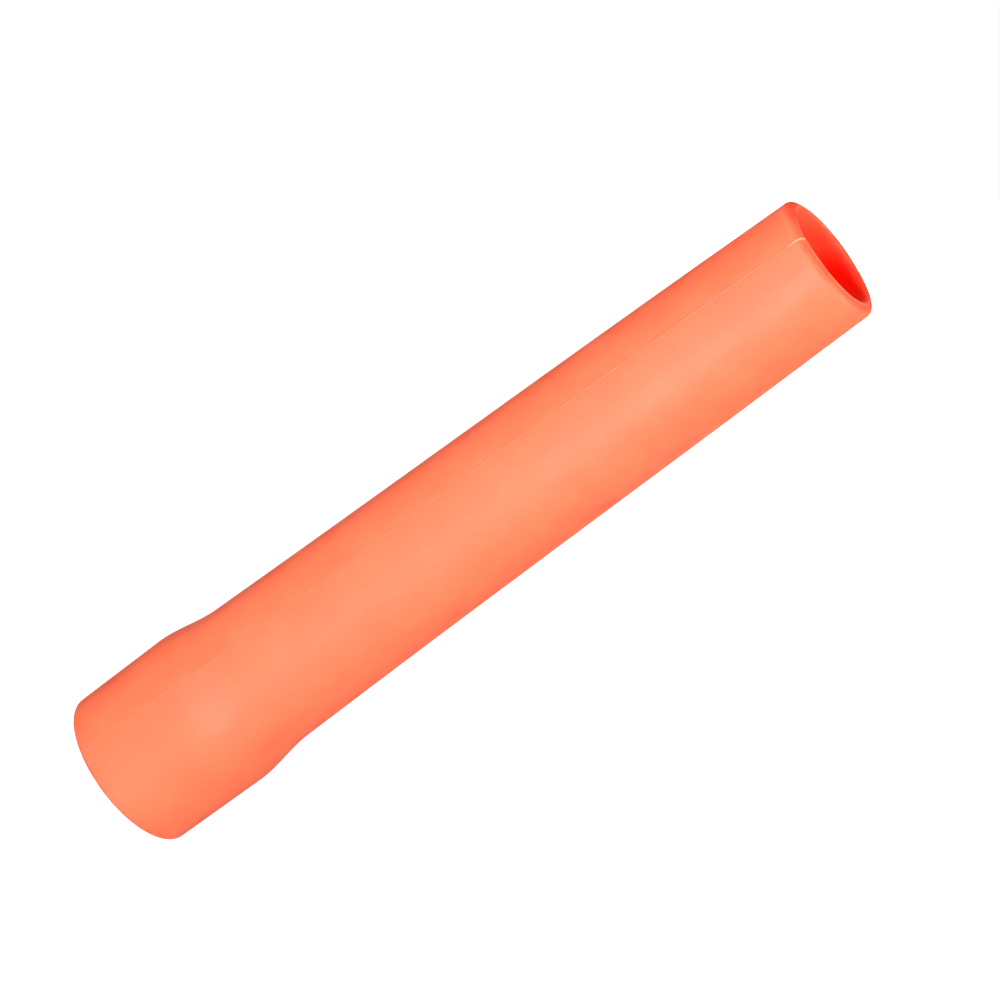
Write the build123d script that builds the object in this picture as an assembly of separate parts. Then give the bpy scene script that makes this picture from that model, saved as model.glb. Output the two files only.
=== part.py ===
from build123d import *
import math
import os

# Slip-on signal wand sleeve: one hollow elastomer moulding, open at both ends.
# The flared end is the socket that is pushed over the head of a hand torch. The
# long tapered tube is the diffuser that glows, and its tip is an open mouth.
#
# Frame: origin at the centre of the flared rim, +Z along the axis to the tip, so
# the sleeve stands on its flared rim. All lengths are in millimetres.

# ---------------------------------------------------------------- driving sizes
LENGTH = 240.0          # rim to tip
RIM_R = 22.77           # outer radius at the flared rim
FLARE_R = 22.99         # outer radius at the top of the flare, slightly wider
FLARE_TOP_Z = 29.43     # where the flare ends and the shoulder starts
SHOULDER_TOP_Z = 47.87  # where the shoulder meets the tube
TUBE_R = 20.62          # outer radius of the tube above the shoulder
TIP_R = 17.71           # outer radius the tube tapers to at the tip
RIM_ROUND = 1.6         # rounding of the rim's outer edge

SOCKET_R = 20.0         # bore that grips a 40 mm torch head
SOCKET_LEAD = 0.45      # edge break at the socket mouth
SOCKET_TOP_Z = 29.5     # end of the straight socket wall
SEAT_TOP_Z = 48.4       # end of the inner shoulder that the bezel stops against
WALL = 2.9              # wall thickness along the tube

LIP_TOP_Z = 239.7       # top of the rounded outer lip
LIP_HEIGHT = 1.75       # height over which the outside curves in at the lip
LIP_WIDTH = 2.1         # how far the outside curves in at the lip
BEAD_HEIGHT = 0.3       # the inner ring stands this far above the lip
BEAD_BASE_R = 15.5      # outer foot of the inner ring
BEAD_TOP_R = 15.35      # outer edge of the ring's narrow flat top
MOUTH_ROUND = 0.3       # rounding of the mouth's inner edge

# ---------------------------------------------------------------- profile points
taper = (TIP_R - TUBE_R) / (LENGTH - SHOULDER_TOP_Z)        # outer taper, dr/dz
flare_slope = (FLARE_R - RIM_R) / FLARE_TOP_Z


def tube_r(z):
    """Outer radius of the straight tapered tube at height z."""
    return TUBE_R + taper * (z - SHOULDER_TOP_Z)


def flare_r(z):
    """Outer radius of the flare at height z."""
    return RIM_R + flare_slope * z


def bore_r(z):
    """Radius of the tapered bore at height z, parallel to the outside."""
    return tube_r(z) - WALL


assert abs(LIP_TOP_Z + BEAD_HEIGHT - LENGTH) < 1e-9
lip_start_z = LIP_TOP_Z - LIP_HEIGHT
mouth_r = bore_r(LENGTH)

# Points of the half section, as (radius, height)
rim_in = (SOCKET_R + SOCKET_LEAD, 0.0)
rim_out = (RIM_R - RIM_ROUND, 0.0)
rim_side = (flare_r(RIM_ROUND), RIM_ROUND)
flare_top = (FLARE_R, FLARE_TOP_Z)
shoulder_top = (TUBE_R, SHOULDER_TOP_Z)
lip_start = (tube_r(lip_start_z), lip_start_z)
lip_end = (tube_r(lip_start_z) - LIP_WIDTH, LIP_TOP_Z)
bead_foot = (BEAD_BASE_R, LIP_TOP_Z)
bead_top = (BEAD_TOP_R, LENGTH)
mouth_top = (mouth_r + MOUTH_ROUND, LENGTH)
mouth_in = (bore_r(LENGTH - MOUTH_ROUND), LENGTH - MOUTH_ROUND)
seat_top = (bore_r(SEAT_TOP_Z), SEAT_TOP_Z)
socket_top = (SOCKET_R, SOCKET_TOP_Z)
socket_low = (SOCKET_R, SOCKET_LEAD)


def at(p):
    """A section point in the XZ plane."""
    return Vector(p[0], 0, p[1])


def corner(p, q, sharp):
    """A rounding from p to q that bulges towards the sharp corner it replaces."""
    mx, mz = (p[0] + q[0]) / 2, (p[1] + q[1]) / 2
    k = 0.4142
    return ThreePointArc(
        at(p),
        Vector(mx + (sharp[0] - mx) * k, 0, mz + (sharp[1] - mz) * k),
        at(q),
    )


def tangent(dr, dz):
    return Vector(dr, 0, dz)


edges = [
    Line(at(rim_in), at(rim_out)),
    corner(rim_out, rim_side, (RIM_R, 0.0)),
    Line(at(rim_side), at(flare_top)),
    # smooth S-shaped shoulder from the flare into the tube
    Spline(
        at(flare_top),
        at(shoulder_top),
        tangents=(tangent(flare_slope, 1), tangent(taper, 1)),
    ),
    Line(at(shoulder_top), at(lip_start)),
    # rounded outer lip of the open tip
    corner(lip_start, lip_end, (lip_start[0], LIP_TOP_Z)),
    Line(at(lip_end), at(bead_foot)),
    # narrow ring around the mouth
    Line(at(bead_foot), at(bead_top)),
    Line(at(bead_top), at(mouth_top)),
    corner(mouth_top, mouth_in, (mouth_r, LENGTH)),
    Line(at(mouth_in), at(seat_top)),
    # inner shoulder: the torch bezel stops where it narrows
    Spline(
        at(seat_top),
        at(socket_top),
        tangents=(tangent(-taper, -1), tangent(0, -1)),
    ),
    Line(at(socket_top), at(socket_low)),
    Line(at(socket_low), at(rim_in)),
]

section = make_face(Wire(edges))
wand_sleeve = revolve(section, axis=Axis.Z, revolution_arc=360)

os.makedirs("parts", exist_ok=True)
export_step(wand_sleeve, "parts/wand_sleeve.step")
print(
    "wand_sleeve volume mm3",
    round(wand_sleeve.volume),
    "valid",
    wand_sleeve.is_valid,
    "mouth r",
    round(mouth_r, 3),
    "seat bore r",
    round(bore_r(SEAT_TOP_Z), 3),
    "lip ends at r",
    round(lip_end[0], 3),
    "taper deg",
    round(math.degrees(math.atan(taper)), 3),
)
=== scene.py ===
import math

import bpy
import numpy as np
from mathutils import Matrix, Vector


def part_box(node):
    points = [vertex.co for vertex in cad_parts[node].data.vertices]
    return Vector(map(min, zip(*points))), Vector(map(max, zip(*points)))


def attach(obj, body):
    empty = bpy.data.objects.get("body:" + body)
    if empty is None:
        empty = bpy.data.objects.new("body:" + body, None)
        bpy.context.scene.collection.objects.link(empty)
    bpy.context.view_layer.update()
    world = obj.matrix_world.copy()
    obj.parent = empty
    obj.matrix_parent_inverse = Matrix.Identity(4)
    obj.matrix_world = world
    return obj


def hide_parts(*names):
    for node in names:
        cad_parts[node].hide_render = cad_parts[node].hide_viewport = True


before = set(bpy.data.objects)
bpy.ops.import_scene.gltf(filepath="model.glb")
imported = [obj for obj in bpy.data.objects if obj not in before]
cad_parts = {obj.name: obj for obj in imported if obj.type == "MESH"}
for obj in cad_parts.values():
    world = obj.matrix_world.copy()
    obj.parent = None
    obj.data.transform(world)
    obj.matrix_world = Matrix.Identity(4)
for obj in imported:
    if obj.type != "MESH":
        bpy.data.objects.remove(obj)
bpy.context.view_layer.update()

scene = bpy.context.scene
MM = 0.001
node_low, node_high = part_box("wand_sleeve")
LENGTH = node_high.z / MM            # 240 mm, from the rim to the top of the mouth ring
FLARE_R = node_high.x / MM           # the widest radius, at the top of the flare

# ------------------------------------------------------------------ sizes, in millimetres
RIM_R = 22.77
FLARE_TOP_Z, SHOULDER_TOP_Z = 29.43, 47.87
TUBE_R, TIP_R = 20.62, 17.71
RIM_ROUND = 1.6
SOCKET_R, SOCKET_LEAD, SOCKET_TOP_Z, SEAT_TOP_Z = 20.0, 0.45, 29.5, 48.4
WALL = 2.9
LIP_TOP_Z, LIP_HEIGHT, LIP_WIDTH = 239.7, 1.75, 2.1
BEAD_OUT_R = 15.5
MOUTH_R = TIP_R - WALL

taper = (TIP_R - TUBE_R) / (LENGTH - SHOULDER_TOP_Z)
flare_slope = (FLARE_R - RIM_R) / FLARE_TOP_Z


def hermite(x, a, sa, b, sb, h):
    return (
        (2 * x**3 - 3 * x**2 + 1) * a
        + (x**3 - 2 * x**2 + x) * h * sa
        + (-2 * x**3 + 3 * x**2) * b
        + (x**3 - x**2) * h * sb
    )


def tube_r(z):
    return TUBE_R + taper * (z - SHOULDER_TOP_Z)


def outer_r(z):
    """Outer radius of the clean shape between the rim's rounding and the lip."""
    if z <= FLARE_TOP_Z:
        return RIM_R + flare_slope * z
    if z <= SHOULDER_TOP_Z:
        h = SHOULDER_TOP_Z - FLARE_TOP_Z
        return hermite((z - FLARE_TOP_Z) / h, FLARE_R, flare_slope, TUBE_R, taper, h)
    return tube_r(z)


# How the moulded wall departs from the drawn taper as it shrinks in cooling: (height, radius change)
shrink_z = [0, 30, 38, 44, 53, 65, 80, 96, 113, 137, 156, 173, 192, 206, 223, 240]
shrink_r = [0, 0, 0.03, 0.10, 0.075, 0.012, -0.045, -0.07, -0.066, -0.04, 0, 0.03, 0.045, 0.035, 0, -0.01]


def smooth_interp(z, zs, vs):
    """Cubic interpolation through the points, with slopes from their neighbours."""
    zs, vs = np.asarray(zs, float), np.asarray(vs, float)
    i = int(np.clip(np.searchsorted(zs, z) - 1, 0, len(zs) - 2))
    h = zs[i + 1] - zs[i]
    slopes = np.gradient(vs, zs)
    return hermite((np.clip(z, zs[0], zs[-1]) - zs[i]) / h, vs[i], slopes[i], vs[i + 1], slopes[i + 1], h)


# ------------------------------------------------------------------ the half section
# Each point: (radius, height, kind). kind tells the flash line how strong it is there.
section = []


def add(r, z, kind):
    section.append((r, z, kind))


# outside: rim rounding, from the flat rim up to the side
for t in np.linspace(0, math.pi / 2, 11):
    add(RIM_R - RIM_ROUND + RIM_ROUND * math.sin(t), RIM_ROUND - RIM_ROUND * math.cos(t), "rim")
side_z = (
    list(np.linspace(RIM_ROUND, FLARE_TOP_Z, 20)[1:])
    + list(np.linspace(FLARE_TOP_Z, SHOULDER_TOP_Z + 4, 34)[1:])
    + list(np.linspace(SHOULDER_TOP_Z + 4, LENGTH - 8, 118)[1:])
    + list(np.linspace(LENGTH - 8, LIP_TOP_Z - LIP_HEIGHT, 16)[1:])
)
for z in side_z:
    add(outer_r(z), z, "side")
# the rounded outer lip
lip_r0 = tube_r(LIP_TOP_Z - LIP_HEIGHT)
for t in np.linspace(0, math.pi / 2, 19)[1:]:
    add(lip_r0 - LIP_WIDTH + LIP_WIDTH * math.cos(t), LIP_TOP_Z - LIP_HEIGHT + LIP_HEIGHT * math.sin(t), "lip")
# the fine witness groove where the mould halves meet the core, and the rounded ring inside it
add(BEAD_OUT_R + 0.10, LIP_TOP_Z - 0.01, "groove")
add(BEAD_OUT_R + 0.05, LIP_TOP_Z - 0.05, "groove")
add(BEAD_OUT_R + 0.01, LIP_TOP_Z - 0.11, "groove")
add(BEAD_OUT_R - 0.04, LIP_TOP_Z - 0.05, "groove")
add(BEAD_OUT_R - 0.07, LIP_TOP_Z + 0.06, "groove")
RING_TOP_R, RING_IN_R, RING_DEPTH = 15.15, 14.5, 1.35
for t in np.linspace(0, math.pi / 2, 7)[1:]:
    add(
        RING_TOP_R + (BEAD_OUT_R - 0.08 - RING_TOP_R) * math.cos(t),
        LENGTH - 0.24 + 0.24 * math.sin(t),
        "ring",
    )
for t in np.linspace(0, math.pi / 2, 15)[1:]:
    add(
        RING_TOP_R - (RING_TOP_R - RING_IN_R) * math.sin(t),
        LENGTH - RING_DEPTH * (1 - math.cos(t)),
        "ring",
    )
# the bore: a little tighter at the mouth, then parallel to the outside
bore_top = LENGTH - RING_DEPTH
for z in list(np.linspace(bore_top, LENGTH - 24, 20)[1:]) + list(np.linspace(LENGTH - 24, SEAT_TOP_Z, 44)[1:]):
    x = min(1.0, (bore_top - z) / (bore_top - (LENGTH - 24)))
    add(tube_r(z) - WALL + (RING_IN_R - tube_r(bore_top) + WALL) * (1 - x * x * (3 - 2 * x)), z, "bore")
# the inner shoulder that a bezel stops against
h = SEAT_TOP_Z - SOCKET_TOP_Z
for x in np.linspace(0, 1, 22)[1:]:
    z = SEAT_TOP_Z - x * h
    add(hermite(1 - x, SOCKET_R, 0.0, tube_r(SEAT_TOP_Z) - WALL, taper, h), z, "seat")
for z in np.linspace(SOCKET_TOP_Z, SOCKET_LEAD, 14)[1:]:
    add(SOCKET_R, z, "socket")
for t in np.linspace(0, math.pi / 2, 6)[1:]:
    add(SOCKET_R + SOCKET_LEAD * (1 - math.cos(t)), SOCKET_LEAD * (1 - math.sin(t)), "socket_edge")

# ------------------------------------------------------------------ angles round the axis
# Two flash lines, on opposite sides, where the mould halves met.
SEAM = math.radians(240.0)
seam_z = [0, 12, 29, 53, 77, 101, 125, 149, 173, 197, 209, 221, 233, 240]
seam_deg = [1.3, 1.1, 1.0, 0.55, 0.2, -0.15, -0.4, -0.45, -0.25, 0.3, 0.75, 1.25, 1.8, 2.0]
fine = [0.0, 0.05, 0.10, 0.16, 0.22, 0.30, 0.40, 0.55, 0.75, 1.05, 1.5, 2.1]   # mm at r = 19
offsets = sorted({-f for f in fine} | set(fine))
angles = []
for k in (0, 1):
    for s in offsets:
        angles.append(k * math.pi + s / 19.0)
    start, stop = fine[-1] / 19.0, math.pi - fine[-1] / 19.0
    angles += [k * math.pi + a for a in np.linspace(start, stop, 112)[1:-1]]
angles = sorted(angles)

rng = np.random.default_rng(7)
wave_p = rng.uniform(0, 2 * math.pi, 8)


def wobble(z):
    """Slow change of the flash line's height along it, about 1."""
    return (
        1
        + 0.22 * math.sin(z / 6.1 + wave_p[0])
        + 0.18 * math.sin(z / 2.3 + wave_p[1])
        + 0.12 * math.sin(z / 14.7 + wave_p[2])
    )


def flash(kind, z, arc, k):
    """Height in millimetres of the flash line, arc mm away from its middle."""
    if kind in ("bore", "seat", "socket", "socket_edge", "ring"):
        return 0.0
    height = 0.085 * wobble(z + 40 * k)
    height *= 0.5 + 0.5 * min(1.0, max(0.0, (z - 22) / 25))
    width = 0.17
    near = max(0.0, min(1.0, (z - (LENGTH - 4.6)) / 3.2))
    near = near * near * (3 - 2 * near)
    height += 0.24 * near if k == 0 else 0.0
    width += 0.13 * near
    if kind == "rim":
        height *= max(0.0, min(1.0, z / RIM_ROUND))
    if kind == "groove":
        height *= 0.25
    # the line is steeper on one side, where the edge of one mould half cut it off
    ridge = height * math.exp(-((arc / (width * (0.72 if arc > 0 else 1.25))) ** 2))
    dip = -0.014 * wobble(z + 17 + 40 * k) * math.exp(-(((arc + 0.5) / 0.2) ** 2))
    return ridge + (dip if kind == "side" else 0.0)


def flash_painted_highlight(kind, z, arc, k):
    """How much painted highlight lies on the flash line, 0 to 1: a paler colour standing in for the light that its
    ridge and the bead at the mouth catch.
    """
    if kind not in ("side", "lip", "groove"):
        return 0.0
    near = max(0.0, min(1.0, (z - (LENGTH - 5.2)) / 3.4)) if k == 0 else 0.0
    return (0.08 * wobble(z + 40 * k) + 0.7 * near) * math.exp(-(((arc - 0.03) / (0.15 + 0.06 * near)) ** 2))


# ------------------------------------------------------------------ the mesh
n_p, n_a = len(section), len(angles)
sec = np.array([(r, z) for r, z, _ in section])
tang = np.roll(sec, -1, 0) - np.roll(sec, 1, 0)
tang /= np.linalg.norm(tang, axis=1)[:, None]
norm_r, norm_z = tang[:, 1], -tang[:, 0]      # points out of the wall on the outside

MOUTH_SLANT = 0.22      # the trimmed mouth is just off square: this much higher on the +Y side
verts, seam_highlight_shares = [], []
for i, (r, z, kind) in enumerate(section):
    outside = kind in ("rim", "side", "lip", "groove")
    dr = smooth_interp(z, shrink_z, shrink_r)
    turn = math.radians(smooth_interp(z, seam_z, seam_deg))
    bow = -0.09 + 0.24 * ((z / LENGTH - 0.48) / 0.52) ** 2
    for a in angles:
        rr, zz = r + (dr if kind != "socket" else 0.0), z
        # distance to the nearer flash line, along the surface
        k = 0 if min(abs(a), abs(a - 2 * math.pi)) < abs(a - math.pi) else 1
        d = (a if abs(a) < abs(a - 2 * math.pi) else a - 2 * math.pi) if k == 0 else a - math.pi
        lift = flash(kind, z, d * r, k) if outside else 0.0
        seam_highlight_shares.append(flash_painted_highlight(kind, z, d * r, k))
        # out of round by a few hundredths, as a soft moulding is
        oval = 0.05 * math.cos(2 * (a + 0.6)) * (0.35 + 0.65 * z / LENGTH)
        rr += oval
        # the mouth's ring rises and dips a little where the flash line runs up to it
        if kind in ("ring", "groove"):
            zz -= 0.05 * math.exp(-((d * r / 2.2) ** 2)) - 0.02 * math.sin(3 * a + 1.1)
        ang = SEAM + turn + a
        rr += lift * norm_r[i]
        zz += lift * norm_z[i]
        # the core leaned a little in the mould, so the wall is thicker on one side of the mouth
        core = -0.3 * max(0.0, (z - 200) / 40) ** 2 if kind in ("ring", "bore") else 0.0
        zz += MOUTH_SLANT * math.sin(ang) * max(0.0, min(1.0, (z - (LENGTH - 14)) / 12)) * rr / 15.1
        verts.append(((rr * math.cos(ang) + bow + core) * MM, rr * math.sin(ang) * MM, zz * MM))

faces = []
for i in range(n_p):
    j = (i + 1) % n_p
    for a in range(n_a):
        b = (a + 1) % n_a
        faces.append((i * n_a + a, i * n_a + b, j * n_a + b, j * n_a + a))

mesh = bpy.data.meshes.new("wand_sleeve_skin")
mesh.from_pydata(verts, [], faces)
mesh.validate()
mesh.update()
# painted highlight along the flash lines and the bead at the mouth, kept on the points
seam_highlight_attr = mesh.attributes.new("flash_painted_highlight", "FLOAT", "POINT")
seam_highlight_attr.data.foreach_set("value", seam_highlight_shares)
piece = bpy.data.objects.new("wand_sleeve_skin", mesh)
scene.collection.objects.link(piece)
for p in mesh.polygons:
    p.use_smooth = True

# ------------------------------------------------------------------ the elastomer
def node(tree, kind, **values):
    n = tree.nodes.new(kind)
    for key, value in values.items():
        setattr(n, key, value)
    return n


# Small marks on the skin: from (share of the length, azimuth in degrees) to the same,
# half width in mm, and how strong; below 0 is darker than the skin.
MARKS = [
    (0.623, 213.0, 0.614, 234.0, 0.34, -0.3),
    (0.419, 293.5, 0.421, 289.0, 0.34, 0.10),
    (0.553, 292.5, 0.560, 286.0, 0.32, 0.12),
    (0.555, 290.5, 0.562, 285.0, 0.24, -0.16),
    (0.575, 282.0, 0.5755, 283.0, 0.40, 0.08),
    (0.720, 267.0, 0.7205, 268.2, 0.40, 0.09),
    (0.754, 304.0, 0.760, 292.5, 0.34, 0.06),
    (0.345, 243.0, 0.345, 247.0, 0.34, -0.22),
]


def skin_point(share, az):
    """A point on the outside of the tube, in metres."""
    z, a = share * LENGTH, math.radians(az)
    return Vector((tube_r(z) * math.cos(a), tube_r(z) * math.sin(a), z)) * MM


def scuff(t, where, start, end, half_width, strength):
    """1 x strength on the line from start to end, fading to 0 at half_width from it."""
    along = end - start
    rel = node(t, "ShaderNodeVectorMath", operation="SUBTRACT")
    rel.inputs[1].default_value = start
    t.links.new(where, rel.inputs[0])
    dot = node(t, "ShaderNodeVectorMath", operation="DOT_PRODUCT")
    dot.inputs[1].default_value = along / along.length_squared
    t.links.new(rel.outputs["Vector"], dot.inputs[0])
    share = node(t, "ShaderNodeMath", operation="MULTIPLY", use_clamp=True)
    share.inputs[1].default_value = 1.0
    t.links.new(dot.outputs["Value"], share.inputs[0])
    foot = node(t, "ShaderNodeVectorMath", operation="SCALE")
    foot.inputs[0].default_value = along
    t.links.new(share.outputs["Value"], foot.inputs["Scale"])
    gap = node(t, "ShaderNodeVectorMath", operation="DISTANCE")
    t.links.new(rel.outputs["Vector"], gap.inputs[0])
    t.links.new(foot.outputs["Vector"], gap.inputs[1])
    fade = node(t, "ShaderNodeMapRange", interpolation_type="SMOOTHSTEP")
    fade.inputs["From Min"].default_value = 0.0
    fade.inputs["From Max"].default_value = half_width
    fade.inputs["To Min"].default_value = strength
    fade.inputs["To Max"].default_value = 0.0
    t.links.new(gap.outputs["Value"], fade.inputs["Value"])
    return fade.outputs["Result"]


def elastomer():
    mat = bpy.data.materials.new("orange_elastomer")
    mat.use_nodes = True
    t = mat.node_tree
    t.nodes.clear()
    out = node(t, "ShaderNodeOutputMaterial")
    bsdf = node(t, "ShaderNodeBsdfPrincipled")
    t.links.new(bsdf.outputs["BSDF"], out.inputs["Surface"])
    where = node(t, "ShaderNodeTexCoord")

    # colour: a faint cloudiness of the pigment
    cloud = node(t, "ShaderNodeTexNoise")
    cloud.inputs["Scale"].default_value = 34.0
    cloud.inputs["Detail"].default_value = 3.0
    t.links.new(where.outputs["Object"], cloud.inputs["Vector"])
    ramp = node(t, "ShaderNodeValToRGB")
    ramp.color_ramp.elements[0].position = 0.36
    ramp.color_ramp.elements[0].color = (0.985, 0.121, 0.057, 1)
    ramp.color_ramp.elements[1].position = 0.66
    ramp.color_ramp.elements[1].color = (0.985, 0.131, 0.062, 1)
    t.links.new(cloud.outputs["Fac"], ramp.inputs["Fac"])
    # painted highlight: the wall's colour is mixed toward pale orange along the flash lines and the bead at the mouth,
    # where their ridges catch the light
    line = node(t, "ShaderNodeAttribute", attribute_name="flash_painted_highlight")
    seam_highlight_mix = node(t, "ShaderNodeMix", data_type="RGBA")
    seam_highlight_mix.inputs[7].default_value = (0.985, 0.36, 0.22, 1)
    t.links.new(line.outputs["Fac"], seam_highlight_mix.inputs[0])
    t.links.new(ramp.outputs["Color"], seam_highlight_mix.inputs[6])
    colour = seam_highlight_mix.outputs[2]
    for z0, az0, z1, az1, width, amount in MARKS:
        mask = scuff(t, where.outputs["Object"], skin_point(z0, az0), skin_point(z1, az1), width * MM, abs(amount))
        mix = node(t, "ShaderNodeMix", data_type="RGBA")
        mix.inputs[7].default_value = (0.985, 0.36, 0.22, 1) if amount > 0 else (0.94, 0.07, 0.03, 1)
        t.links.new(mask, mix.inputs[0])
        t.links.new(colour, mix.inputs[6])
        colour = mix.outputs[2]
    t.links.new(colour, bsdf.inputs["Base Color"])

    bsdf.subsurface_method = "RANDOM_WALK"
    bsdf.inputs["Subsurface Weight"].default_value = 1.0
    bsdf.inputs["Subsurface Radius"].default_value = (1.0, 0.017, 0.0085)
    bsdf.inputs["Subsurface Scale"].default_value = 0.007
    bsdf.inputs["Specular IOR Level"].default_value = 0.18

    # satin skin: roughness changes slightly from place to place
    patch = node(t, "ShaderNodeTexNoise")
    patch.inputs["Scale"].default_value = 90.0
    patch.inputs["Detail"].default_value = 5.0
    t.links.new(where.outputs["Object"], patch.inputs["Vector"])
    rough = node(t, "ShaderNodeMapRange")
    rough.inputs["From Min"].default_value = 0.3
    rough.inputs["From Max"].default_value = 0.7
    rough.inputs["To Min"].default_value = 0.45
    rough.inputs["To Max"].default_value = 0.53
    t.links.new(patch.outputs["Fac"], rough.inputs["Value"])
    t.links.new(rough.outputs["Result"], bsdf.inputs["Roughness"])

    # fine grain of the blasted mould
    grain = node(t, "ShaderNodeTexNoise")
    grain.inputs["Scale"].default_value = 2600.0
    grain.inputs["Detail"].default_value = 2.0
    t.links.new(where.outputs["Object"], grain.inputs["Vector"])
    bump = node(t, "ShaderNodeBump")
    bump.inputs["Strength"].default_value = 0.10
    bump.inputs["Distance"].default_value = 0.00005
    t.links.new(grain.outputs["Fac"], bump.inputs["Height"])
    t.links.new(bump.outputs["Normal"], bsdf.inputs["Normal"])
    return mat


mesh.materials.append(elastomer())
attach(piece, "root")
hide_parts("wand_sleeve")

# ------------------------------------------------------------------ floor
floor_mesh = bpy.data.meshes.new("floor")
s = 14.0
floor_mesh.from_pydata([(-s, -s, 0), (s, -s, 0), (s, s, 0), (-s, s, 0)], [], [(0, 1, 2, 3)])
floor = bpy.data.objects.new("floor", floor_mesh)
scene.collection.objects.link(floor)
fm = bpy.data.materials.new("pale_floor")
fm.use_nodes = True
ft = fm.node_tree
fb = ft.nodes["Principled BSDF"]
fb.inputs["Base Color"].default_value = (0.22, 0.22, 0.22, 1)
fb.inputs["Roughness"].default_value = 0.9
fb.inputs["Specular IOR Level"].default_value = 0.0
# the paper glows white to the camera but throws no light up on the sleeve
fb.inputs["Emission Color"].default_value = (1, 1, 1, 1)
ray = node(ft, "ShaderNodeLightPath")
glow = node(ft, "ShaderNodeMath", operation="MULTIPLY")
glow.inputs[1].default_value = 0.99
ft.links.new(ray.outputs["Is Camera Ray"], glow.inputs[0])
ft.links.new(glow.outputs["Value"], fb.inputs["Emission Strength"])
floor_mesh.materials.append(fm)

# ------------------------------------------------------------------ camera
# The view is fitted: the sleeve stands upright, and the camera looks down on it by
# 18 degrees and is rolled so that the sleeve runs from lower left to upper right.
L = LENGTH * MM
th, ph = 0.315081, 0.631559
focal_px = 4091.07
mid_cam = Vector((-0.034224, -0.022999, -1 / 0.224688)) * L
d = Vector((math.cos(th) * math.cos(ph), math.cos(th) * math.sin(ph), math.sin(th)))
hv = (Vector((0, 0, 1)) - math.sin(th) * d) / math.cos(th)
xv = (-hv).cross(d)
to_cam = Matrix((xv, -hv, d)).transposed()        # columns: world axes in camera space
cam_rot = to_cam.transposed()
cam_data = bpy.data.cameras.new("camera")
cam_data.sensor_width = 36.0
cam_data.lens = focal_px * 36.0 / 1000.0
cam_data.clip_start, cam_data.clip_end = 0.01, 60
camera = bpy.data.objects.new("camera", cam_data)
scene.collection.objects.link(camera)
camera.matrix_world = Matrix.Translation(Vector((0, 0, L / 2)) - cam_rot @ mid_cam) @ cam_rot.to_4x4()
scene.camera = camera


# ------------------------------------------------------------------ light
def area(name, place, target, size, power):
    data = bpy.data.lights.new(name, "AREA")
    data.shape = "RECTANGLE"
    data.size, data.size_y = size
    data.energy = power
    o = bpy.data.objects.new(name, data)
    scene.collection.objects.link(o)
    o.location = place
    o.rotation_euler = (Vector(target) - Vector(place)).to_track_quat("-Z", "Y").to_euler()
    return o


def strip(name, az, low, high, dist, width, power):
    """An upright softbox beside the sleeve, level with it, so that little of it shines into the mouth."""
    a, mid = math.radians(az), (low + high) / 2
    return area(name, (dist * math.cos(a), dist * math.sin(a), mid), (0, 0, mid), (width, high - low), power)


def lamp(name, az, el, dist, size, height, power):
    """A square softbox that looks down at the sleeve's axis at that height."""
    a, e = math.radians(az), math.radians(el)
    place = Vector((0, 0, height)) + dist * Vector((math.cos(e) * math.cos(a), math.cos(e) * math.sin(a), math.sin(e)))
    return area(name, place, (0, 0, height), (size, size), power)


strip("front", 281, 0.03, 0.325, 1.2, 0.5, 25.8)
strip("left", 238, 0.13, 0.34, 1.2, 0.4, 14)
back = strip("back", 90, 0.02, 0.32, 1.2, 0.12, 32)
lamp("mouth", 345, 33, 0.32, 0.14, 0.237, 1.0)
top = lamp("top_back", 92, 50, 1.0, 0.9, 0.12, 6)
back.visible_glossy = top.visible_glossy = False      # no glints from behind on the satin skin

world = bpy.data.worlds.new("studio")
scene.world = world
world.use_nodes = True
wt = world.node_tree
wt.nodes.clear()
wo = node(wt, "ShaderNodeOutputWorld")
bg_seen = node(wt, "ShaderNodeBackground")
bg_seen.inputs["Color"].default_value = (1, 1, 1, 1)
bg_seen.inputs["Strength"].default_value = 1.0
bg_light = node(wt, "ShaderNodeBackground")
bg_light.inputs["Color"].default_value = (1, 1, 1, 1)
bg_light.inputs["Strength"].default_value = 0.03
path = node(wt, "ShaderNodeLightPath")
mix = node(wt, "ShaderNodeMixShader")
wt.links.new(path.outputs["Is Camera Ray"], mix.inputs[0])
wt.links.new(bg_light.outputs[0], mix.inputs[1])
wt.links.new(bg_seen.outputs[0], mix.inputs[2])
wt.links.new(mix.outputs[0], wo.inputs["Surface"])

scene.view_settings.view_transform = "Standard"
scene.view_settings.look = "None"
scene.view_settings.exposure = 0.0
scene.view_settings.gamma = 1.0
scene.cycles.max_bounces = 14
scene.cycles.diffuse_bounces = 8
